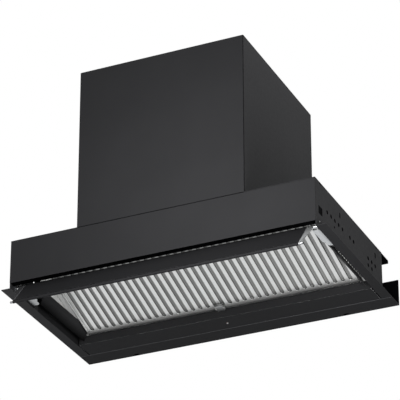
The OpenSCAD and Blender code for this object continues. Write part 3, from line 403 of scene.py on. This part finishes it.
def fold_edges(node, radius, edge_paint=None, segments=2, clamp=True, wanted=None, cut_z=None):
    """Stands in for a node with the same solid, whose edges are rounded like a folded sheet's."""
    made = bmesh.new()
    made.from_mesh(nodes[node].data)
    bmesh.ops.remove_doubles(made, verts=made.verts, dist=0.002 * MM)
    bmesh.ops.dissolve_limit(
        made, angle_limit=FLAT, use_dissolve_boundaries=False,
        verts=made.verts, edges=made.edges, delimit=set())
    sharp = [edge for edge in made.edges
             if len(edge.link_faces) == 2 and edge.calc_face_angle() > SHARP
             and (wanted is None or wanted(edge))]
    bmesh.ops.bevel(
        made, geom=sharp, offset=radius * MM, offset_type="OFFSET", segments=segments,
        profile=0.5, affect="EDGES", clamp_overlap=clamp, material=1 if edge_paint else -1)
    if cut_z is not None:
        bmesh.ops.bisect_plane(
            made, geom=made.verts[:] + made.edges[:] + made.faces[:],
            plane_co=(0, 0, cut_z * MM), plane_no=(0, 0, 1))
    for face in made.faces:
        face.smooth = False
    materials = [nodes[node].data.materials[0]] + ([edge_paint] if edge_paint else [])
    mesh = mesh_from(made, node + "_folded", *materials)
    return add_piece(mesh, body_of(node), slot_of(node), node)


def trim_lip(edge):
    """The rear trim's long front edge, which gets a painted highlight where the cover meets it."""
    a, b = (v.co / MM for v in edge.verts)
    low = REAR_TRIM_LOW
    off = max(abs(p.y - low.y) + abs(p.z - low.z) for p in (a, b))
    return abs(a.x - b.x) > 100 and off < SAME_PLACE


def within_plate(place):
    """True where a point of a side plate is one of its holes', and not its border's."""
    return (PLATE_LOW.y + BORDER < place.y < PLATE_HIGH.y - BORDER
            and PLATE_LOW.z + BORDER < place.z < PLATE_HIGH.z - BORDER)


def hole_rim(edge):
    """The outer rims of the side plates' holes, which get black painted shade."""
    a, b = (v.co / MM for v in edge.verts)
    outer = min(abs(a.x), abs(b.x)) > PLATE_HIGH.x - SAME_PLACE
    return outer and within_plate(a) and within_plate(b)


FOLDED = [
    (dict(radius=FOLD_RADIUS, edge_paint=lip_highlight_paint, wanted=trim_lip), ["trim_rear"]),
    (dict(radius=FOLD_RADIUS),
     ["front_panel", "trim_left", "trim_right", "top_deck", "seat_left", "seat_right",
      "plenum_liner"]),
    (dict(radius=0.8, edge_paint=black_painted_shade, segments=1, clamp=False, wanted=hole_rim),
     ["side_plate_left", "side_plate_right"]),
    (dict(radius=FOLD_RADIUS, edge_paint=bend_highlight_paint), ["rear_cover"]),
    (dict(radius=FOLD_RADIUS, edge_paint=lip_highlight_paint), ["flap_panel", "flap_end_left"]),
    (dict(radius=0.4), ["motor_box_wrap"]),
    (dict(radius=0.3, segments=1, cut_z=GUIDE_CUT_Z), ["guide_left", "guide_right"]),
]
pieces = {}
for fold, folded in FOLDED:
    for name in folded:
        pieces[name] = fold_edges(name, **fold)


# Faces of the folded copies that the photo shows in another tone

def tint(piece, material, chosen):
    """Gives another material to the faces that chosen(centre, normal) picks."""
    mesh = piece.data
    mesh.materials.append(material)
    index = len(mesh.materials) - 1
    for face in mesh.polygons:
        if chosen(face.center / MM, face.normal):
            face.material_index = index


def looks_out(c, n, least=0.0):
    """True for a face that looks away from the hood's middle plane."""
    return n.x * c.x > least * abs(c.x)


def on_box_corner(c, n):
    """The two upright front corners of the motor box."""
    return abs(n.x) > 0.4 and n.y < -0.4 and abs(n.z) < 0.3


def under_deck_or_its_flange(c, n):
    return n.z < -0.5 or (c.y > 300 and n.y < -0.5)


# Black painted shade on the liner's outer faces, the rear trim's upstand, the deck's underside and
# flange, and the front panel's hem.
tint(pieces["plenum_liner"], black_painted_shade, lambda c, n: abs(c.x) > LINER_X and looks_out(c, n))
tint(pieces["motor_box_wrap"], seam_paint, on_box_corner)
tint(pieces["trim_rear"], black_painted_shade, lambda c, n: n.y < -0.5 and c.z > 0)
tint(pieces["top_deck"], black_painted_shade, under_deck_or_its_flange)
tint(pieces["front_panel"], black_painted_shade, lambda c, n: n.z < -0.5 and c.z < 30)
# Painted light on the rear cover's front-facing riser.
tint(pieces["rear_cover"], riser_light_paint, lambda c, n: n.y < -0.5)
for side, sign in SIDES:
    # Black painted shade on the rims and walls of the side plates' holes.
    tint(pieces["side_plate_" + side], black_painted_shade,
         lambda c, n: abs(n.x) < 0.5 and within_plate(c))
    # Painted light on the guides' outer faces below the cut.
    tint(pieces["guide_" + side], guide_outer_light_paint,
         lambda c, n: looks_out(c, n, 0.3) and c.z < GUIDE_CUT_Z)
    # A painted highlight on the guides' outer faces above the cut.
    tint(pieces["guide_" + side], edge_highlight_metal,
         lambda c, n: looks_out(c, n, 0.3) and c.z > GUIDE_CUT_Z)


# Hinge brackets: pressed plates at the side plates, so that the rod shows beside the flap's ends

BRACKET_OUTER_X = 281.0
BRACKET_T = 2.5
BRACKET_ROOT = 4.0  # what lies this near to the side plate stays


def thin_bracket(side, sign):
    node = "hinge_bracket_" + side
    made = bmesh.new()
    made.from_mesh(nodes[node].data)
    inner = BRACKET_OUTER_X - BRACKET_T
    for vert in made.verts:
        if abs(vert.co.x) < (BRACKET_OUTER_X - BRACKET_ROOT) * MM:
            vert.co.x = sign * inner * MM
    mesh = mesh_from(made, "bracket_plate_" + side, nodes[node].data.materials[0])
    add_piece(mesh, body_of(node), slot_of(node), node)


for side, sign in SIDES:
    thin_bracket(side, sign)


# Beads and seam lines: thin tubes, half sunk in an edge

ROD_SIDES = 12
# The rings of a rounded end: how far in from its tip, and how wide, both in radii
ROD_END = ((0.0, 0.4), (0.5, 0.9), (1.0, 1.0))


def add_rod(name, start, end, radius, material, node):
    """A tube with rounded ends that rides with a node."""
    made = bmesh.new()
    start, end = Vector(start), Vector(end)
    along = (end - start).normalized()
    across = along.orthogonal().normalized()
    other = along.cross(across)
    stations = [(start, step, share) for step, share in ROD_END]
    stations += [(end, -step, share) for step, share in reversed(ROD_END)]
    rings = []
    for base, step, share in stations:
        centre = base + along * radius * step
        ring = []
        for k in range(ROD_SIDES):
            turn = math.tau * k / ROD_SIDES
            offset = (across * math.cos(turn) + other * math.sin(turn)) * radius * share
            ring.append(made.verts.new(centre + offset))
        rings.append(ring)
    for a, b in zip(rings, rings[1:]):
        for k in range(ROD_SIDES):
            j = (k + 1) % ROD_SIDES
            made.faces.new((a[k], a[j], b[j], b[k])).smooth = True
    for ring in (rings[0], rings[-1]):
        made.faces.new(ring)
    bmesh.ops.recalc_face_normals(made, faces=made.faces)
    bmesh.ops.scale(made, vec=(MM, MM, MM), verts=made.verts)
    add_piece(mesh_from(made, name, material), body_of(node), slot_of(node))


BEAD_X, BEAD_Z, BEAD_FROM, BEAD_TO, BEAD_RADIUS = 262.3, 24.0, 150, 253, 1.1
WING_X, WING_LOW, WING_TOP, WING_RADIUS = 260.3, (-20.5, -36.1), (14.5, 5.6), 0.35
SEAM_INSET, SEAM_DROP, SEAM_RADIUS = 1, 0.4, 0.55

# The guide beads and the wing folds carry painted highlights.
for side, sign in SIDES:
    add_rod("guide_bead_" + side, (sign * BEAD_X, BEAD_FROM, BEAD_Z),
            (sign * BEAD_X, BEAD_TO, BEAD_Z), BEAD_RADIUS, bead_highlight_paint, "guide_" + side)
    add_rod("wing_fold_" + side, (sign * WING_X, *WING_LOW),
            (sign * WING_X, *WING_TOP), WING_RADIUS, lip_highlight_paint, "flap_end_" + side)
add_rod("box_seam", (BOX_LOW.x + SEAM_INSET, 0.0, BOX_LOW.z - SEAM_DROP),
        (BOX_HIGH.x - SEAM_INSET, 0.0, BOX_LOW.z - SEAM_DROP), SEAM_RADIUS, seam_paint,
        "motor_box_wrap")


# Filter: the ribbed sheet as it is pressed, with grooves whose ends are round

FILTER_FRONT_Y = 96.4
FILTER_REAR_Y = 254.0
FILTER_FRONT_Z = 64.6
FILTER_REAR_Z = 15.8
FILTER_RUN = FILTER_REAR_Y - FILTER_FRONT_Y
FILTER_FALL = FILTER_FRONT_Z - FILTER_REAR_Z
FILTER_L = math.hypot(FILTER_FALL, FILTER_RUN)
FILTER_W = 516.0
SHEET_INSET = 1.1  # from the outside of the filter's frame to the ribbed sheet
LIP_W = 6.0
RIB_PITCH = 14.08
RIB_COUNT = 36
GROOVE_HALF = 3.5
GROOVE_FLOOR_HALF = 2.6
GROOVE_DEPTH = 3.6
GROOVE_END_GAP = 3.4
GROOVE_REAR_GAP = 0.8
EDGE_ROUND = 0.5
SHEET_T = 0.5
ARC_STEPS = 8
# A groove from its rim to its floor: half its width, and its depth
GROOVE_PROFILE = [
    (GROOVE_HALF + EDGE_ROUND, 0.0),
    (GROOVE_HALF + 0.3 * EDGE_ROUND, 0.3 * EDGE_ROUND),
    (GROOVE_HALF, EDGE_ROUND),
    (GROOVE_FLOOR_HALF + EDGE_ROUND, GROOVE_DEPTH - EDGE_ROUND),
    (GROOVE_FLOOR_HALF, GROOVE_DEPTH)]
FACE_SLOT, WALL_SLOT, FLOOR_SLOT = 0, 1, 2
WALL_LEVEL = 3
# From the filter's own frame to the part's: X across, Y down the slope, Z away from the ribs
FILTER_PLACE = (
    Matrix.Translation(Vector((0, FILTER_FRONT_Y, FILTER_FRONT_Z)) * MM)
    @ Matrix.Rotation(-math.atan2(FILTER_FALL, FILTER_RUN), 4, "X"))


def place_on_filter(made):
    """Turns a bmesh in millimetres of the filter's own frame into metres of the part's."""
    bmesh.ops.scale(made, vec=(MM, MM, MM), verts=made.verts)
    bmesh.ops.transform(made, matrix=FILTER_PLACE, verts=made.verts)


def half_circles():
    """The directions of a slot's outline: which end, and the cosine and sine there."""
    for end in (0, 1):
        for i in range(ARC_STEPS + 1):
            turn = math.pi * (end + i / ARC_STEPS)
            yield end, math.cos(turn), math.sin(turn)


def slot_rim(middle, half, low, high):
    """Points round a slot: its ends are half circles that reach from low to high."""
    centres = (high - half, low + half)
    return [Vector((middle + half * c, centres[end] + half * s, 0))
            for end, c, s in half_circles()]


def cell_rim(middle, half, low, high, round_low, round_high):
    """Points on a cell's rectangle, one for each point of the slot inside it."""
    centres, reaches = (round_high, round_low), (high, low)
    points = []
    for end, c, s in half_circles():
        m = max(abs(c), abs(s))
        y = centres[end] + (reaches[end] - centres[end]) * abs(s) / m
        points.append(Vector((middle + half * c / m, y, 0)))
    return points


def pressed_sheet():
    """The ribbed sheet: a cell with one groove for each rib, and a plain strip at each side."""
    made = bmesh.new()
    low, high = SHEET_INSET, FILTER_L - SHEET_INSET
    slot_low, slot_high = LIP_W + GROOVE_END_GAP, FILTER_L - LIP_W - GROOVE_REAR_GAP
    for k in range(RIB_COUNT):
        middle = (k + 0.5 - RIB_COUNT / 2) * RIB_PITCH
        rings = [cell_rim(middle, RIB_PITCH / 2, low, high,
                          slot_low + GROOVE_HALF, slot_high - GROOVE_HALF)]
        for half, depth in GROOVE_PROFILE:
            grow = half - GROOVE_HALF
            ring = slot_rim(middle, half, slot_low - grow, slot_high + grow)
            rings.append([point + Vector((0, 0, depth)) for point in ring])
        rows = [[made.verts.new(point) for point in ring] for ring in rings]
        for level, (outer, inner) in enumerate(zip(rows, rows[1:])):
            for i in range(len(outer)):
                j = (i + 1) % len(outer)
                face = made.faces.new((inner[i], inner[j], outer[j], outer[i]))
                face.smooth = level > 0
                if level >= WALL_LEVEL:
                    face.material_index = WALL_SLOT if level == WALL_LEVEL else FLOOR_SLOT
        floor = made.faces.new(rows[-1][::-1])
        floor.material_index = FLOOR_SLOT
    side_x = FILTER_W / 2 - SHEET_INSET
    ribbed_half = RIB_COUNT / 2 * RIB_PITCH
    for _, sign in SIDES:
        corners = [(sign * ribbed_half, low), (sign * side_x, low),
                   (sign * side_x, high), (sign * ribbed_half, high)]
        strip = made.faces.new([made.verts.new((x, y, 0)) for x, y in corners[::-sign]])
        strip.material_index = FACE_SLOT
    bmesh.ops.remove_doubles(made, verts=made.verts, dist=0.01)
    bmesh.ops.solidify(made, geom=made.faces, thickness=SHEET_T)
    place_on_filter(made)
    mesh = mesh_from(made, "filter_ribs", filter_metal, groove_side_painted_shade, groove_bottom_painted_shade)
    add_piece(mesh, "filter", "filter_aluminium", "filter_mesh")


# The liner's ledges beside the filter

FLANGE_FROM = 12.0
FLANGE_TO = 121.0
FLANGE_T = 0.8
FLANGE_ROUND = 0.25
FLANGE_LIFT = 0.2
FLANGE_FILTER_GAP = 1.4
FLANGE_LINER_GAP = 0.3


def seat_flange(side, sign):
    """An inward ledge in the plane of the ribbed face, with a rounded free edge."""
    made = bmesh.new()
    near, far = FILTER_W / 2 + FLANGE_FILTER_GAP, LINER_X - FLANGE_LINER_GAP
    rim = [(near, FLANGE_ROUND), (near + FLANGE_ROUND, 0.0), (far, 0.0), (far, FLANGE_T),
           (near + FLANGE_ROUND, FLANGE_T), (near, FLANGE_T - FLANGE_ROUND)]
    ends = [[made.verts.new((sign * x, y, z + FLANGE_LIFT)) for x, z in rim]
            for y in (FLANGE_FROM, FLANGE_TO)]
    for i in range(len(rim)):
        j = (i + 1) % len(rim)
        made.faces.new((ends[0][i], ends[0][j], ends[1][j], ends[1][i]))
    for end in ends:
        made.faces.new(end)
    bmesh.ops.recalc_face_normals(made, faces=made.faces)
    place_on_filter(made)
    mesh = mesh_from(made, "liner_flange_" + side, flange_metal)
    add_piece(mesh, "hood", slot_of("plenum_liner"))


for side, sign in SIDES:
    seat_flange(side, sign)
pressed_sheet()


# Stage: a pale floor far below, because the hood hangs over the camera

FLOOR_Z = -7.0
FLOOR_HALF = 40.0
FLOOR_COLOUR = grey(0.8)
FLOOR_GLOW = 0.5
WORLD_COLOUR = (0.95, 0.97, 1.0, 1)
WORLD_STRENGTH = 0.42
WHITE = grey(1)


def seen_plainly(tree):
    """The socket that is 1 for rays of the camera, of reflections and through glass."""
    path = tree.nodes.new("ShaderNodeLightPath")
    shown = path.outputs["Is Camera Ray"]
    for ray in ("Is Glossy Ray", "Is Transmission Ray"):
        either = tree.nodes.new("ShaderNodeMath")
        either.operation = "MAXIMUM"
        tree.links.new(shown, either.inputs[0])
        tree.links.new(path.outputs[ray], either.inputs[1])
        shown = either.outputs[0]
    return shown


def stage():
    made = bmesh.new()
    bmesh.ops.create_grid(made, x_segments=1, y_segments=1, size=FLOOR_HALF,
                          matrix=Matrix.Translation((0, 0, FLOOR_Z)))
    m = Mat("floor_pale")
    m.set(Roughness=0.9, Emission_Color=WHITE)
    shown = seen_plainly(m.tree)
    colour = m.add("ShaderNodeMix", data_type="RGBA")
    colour.inputs[MIX_A].default_value = FLOOR_COLOUR
    colour.inputs[MIX_B].default_value = WHITE
    m.tree.links.new(shown, colour.inputs["Factor"])
    m.link(colour, MIX_RESULT, m.bsdf, "Base Color")
    glow = m.add("ShaderNodeMath", operation="MULTIPLY")
    glow.inputs[1].default_value = FLOOR_GLOW
    m.tree.links.new(shown, glow.inputs[0])
    m.link(glow, 0, m.bsdf, "Emission Strength")
    floor = bpy.data.objects.new("floor", mesh_from(made, "floor", m.mat))
    bpy.context.scene.collection.objects.link(floor)


def background(tree, colour, strength):
    node = tree.nodes.new("ShaderNodeBackground")
    node.inputs["Color"].default_value = colour
    node.inputs["Strength"].default_value = strength
    return node


def world():
    """A plain soft light, which shows as white itself."""
    studio = bpy.data.worlds.new("studio")
    bpy.context.scene.world = studio
    studio.use_nodes = True
    tree = studio.node_tree
    tree.nodes.clear()
    out = tree.nodes.new("ShaderNodeOutputWorld")
    mix = tree.nodes.new("ShaderNodeMixShader")
    tree.links.new(seen_plainly(tree), mix.inputs["Fac"])
    lit, seen = background(tree, WORLD_COLOUR, WORLD_STRENGTH), background(tree, WHITE, 1.0)
    tree.links.new(lit.outputs[0], mix.inputs[1])
    tree.links.new(seen.outputs[0], mix.inputs[2])
    tree.links.new(mix.outputs[0], out.inputs["Surface"])


def lamp(name, place, target, size, power):
    data = bpy.data.lights.new(name, "AREA")
    data.shape = "RECTANGLE"
    data.size = data.size_y = size
    data.energy = power
    light = bpy.data.objects.new(name, data)
    bpy.context.scene.collection.objects.link(light)
    light.location = place
    way = Vector(target) - Vector(place)
    light.rotation_euler = way.to_track_quat("-Z", "Y").to_euler()


stage()
world()
# Each lamp in metres and watts: where it is, what it looks at, its size and its power
lamp("key", (0.12, -0.42, 0.06), (0.10, 0.0, 0.12), 0.3, 3.5)
lamp("front", (0.50, -1.50, -0.36), (0.05, 0.2, 0.02), 0.4, 14)
lamp("high", (0.45, 0.12, 0.60), (0.156, 0.15, 0.42), 0.2, 1.8)
lamp("low", (0.60, -0.10, -0.30), (0.27, 0.10, 0.0), 0.25, 2.4)
lamp("low_left", (-0.62, -0.10, -0.42), (-0.30, 0.06, 0.0), 0.25, 0.8)


# Camera, fitted to the photograph

AZIMUTH = 0.427665
PITCH = 0.488547
camera_data = bpy.data.cameras.new("camera")
camera_data.sensor_width = 36
camera_data.lens = 237.774
camera_data.clip_end = 60
camera = bpy.data.objects.new("camera", camera_data)
bpy.context.scene.collection.objects.link(camera)
camera.location = (1.69085, -3.54514, -1.98039)
forward = Vector((
    -math.sin(AZIMUTH) * math.cos(PITCH), math.cos(AZIMUTH) * math.cos(PITCH), math.sin(PITCH)))
right = Vector((math.cos(AZIMUTH), math.sin(AZIMUTH), 0))
up = right.cross(forward)
camera.rotation_euler = Matrix((right, up, -forward)).transposed().to_euler()
bpy.context.scene.camera = camera
bpy.context.scene.view_settings.view_transform = "Standard"
